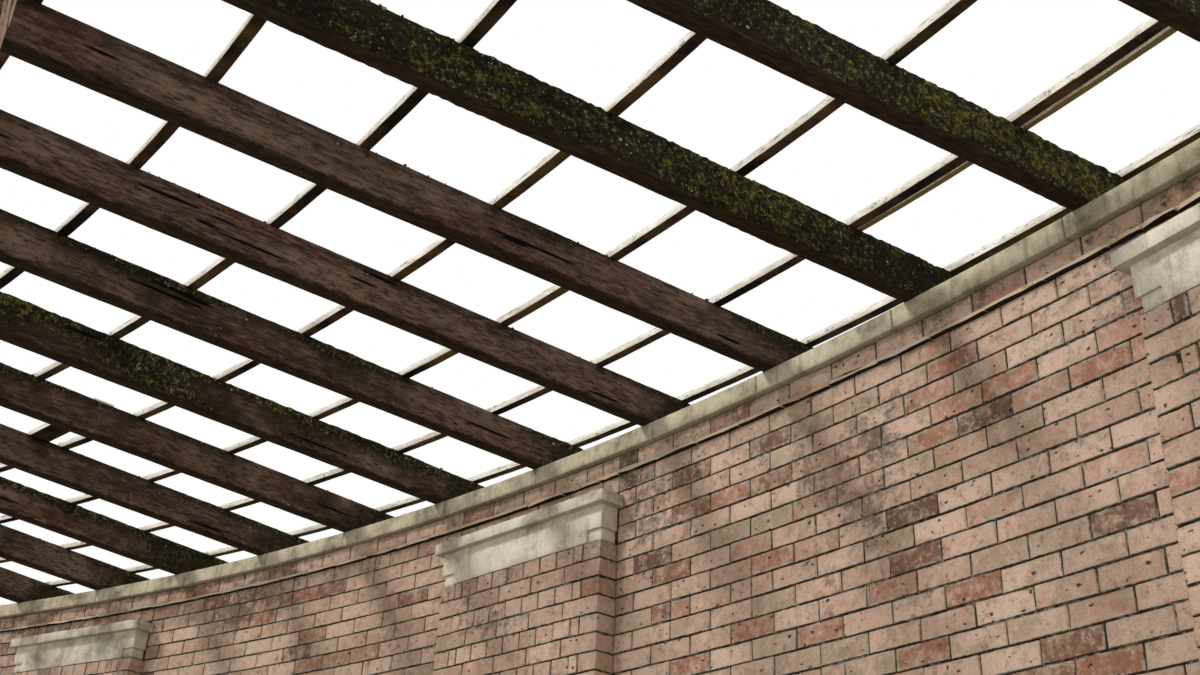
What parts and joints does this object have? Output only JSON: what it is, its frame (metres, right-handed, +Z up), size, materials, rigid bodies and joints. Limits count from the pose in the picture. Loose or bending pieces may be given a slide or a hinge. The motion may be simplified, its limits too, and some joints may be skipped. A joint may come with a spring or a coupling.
{
  "type": "curved garden pergola",
  "caption": "Curved walk pergola: pilastered brick wall with stone coping and caps, brick inner piers, timber beams, radial rafters and thin overhead battens.",
  "frame": {"origin": "foot of the brick wall on its centre line, half way along the walk", "axes": "+Z up, +X along the walk at its middle, +Y out of the curve, away from the walk"},
  "size_m": [13.1354, 5.2014, 4.316],
  "materials": {
    "brick": "weathered handmade red brick in thin mortar",
    "cap_stone": "weathered dressed sandstone with lichen",
    "coping_stone": "weathered sandstone coping",
    "beam_timber": "aged sawn hardwood",
    "rafter_timber": "aged red-brown hardwood with moss and splits",
    "batten_timber": "bleached sawn lath, dark and damp underneath"
  },
  "bodies": {
    "root": {"wall_panel_1": "brick", "wall_panel_2": "brick", "wall_panel_3": "brick", "pilaster_1": "brick", "pilaster_2": "brick", "pilaster_3": "brick", "pilaster_4": "brick", "inner_pier_1": "brick", "inner_pier_2": "brick", "inner_pier_3": "brick", "inner_pier_4": "brick", "pilaster_caps_1": "cap_stone", "pilaster_caps_2": "cap_stone", "pilaster_caps_3": "cap_stone", "pilaster_caps_4": "cap_stone", "inner_pier_caps": "cap_stone", "coping_1": "coping_stone", "coping_2": "coping_stone", "coping_3": "coping_stone", "inner_beam_1": "beam_timber", "inner_beam_2": "beam_timber", "inner_beam_3": "beam_timber", "rafter_1": "rafter_timber", "rafter_2": "rafter_timber", "rafter_3": "rafter_timber", "rafter_4": "rafter_timber", "rafter_5": "rafter_timber", "rafter_6": "rafter_timber", "rafter_7": "rafter_timber", "rafter_8": "rafter_timber", "rafter_9": "rafter_timber", "rafter_10": "rafter_timber", "rafter_11": "rafter_timber", "rafter_12": "rafter_timber", "rafter_13": "rafter_timber", "rafter_14": "rafter_timber", "rafter_15": "rafter_timber", "rafter_16": "rafter_timber", "batten_row_1": "batten_timber", "batten_row_2": "batten_timber", "batten_row_3": "batten_timber", "batten_row_4": "batten_timber", "batten_row_5": "batten_timber", "batten_row_6": "batten_timber", "batten_row_7": "batten_timber", "batten_row_8": "batten_timber"}
  },
  "joints": []
}
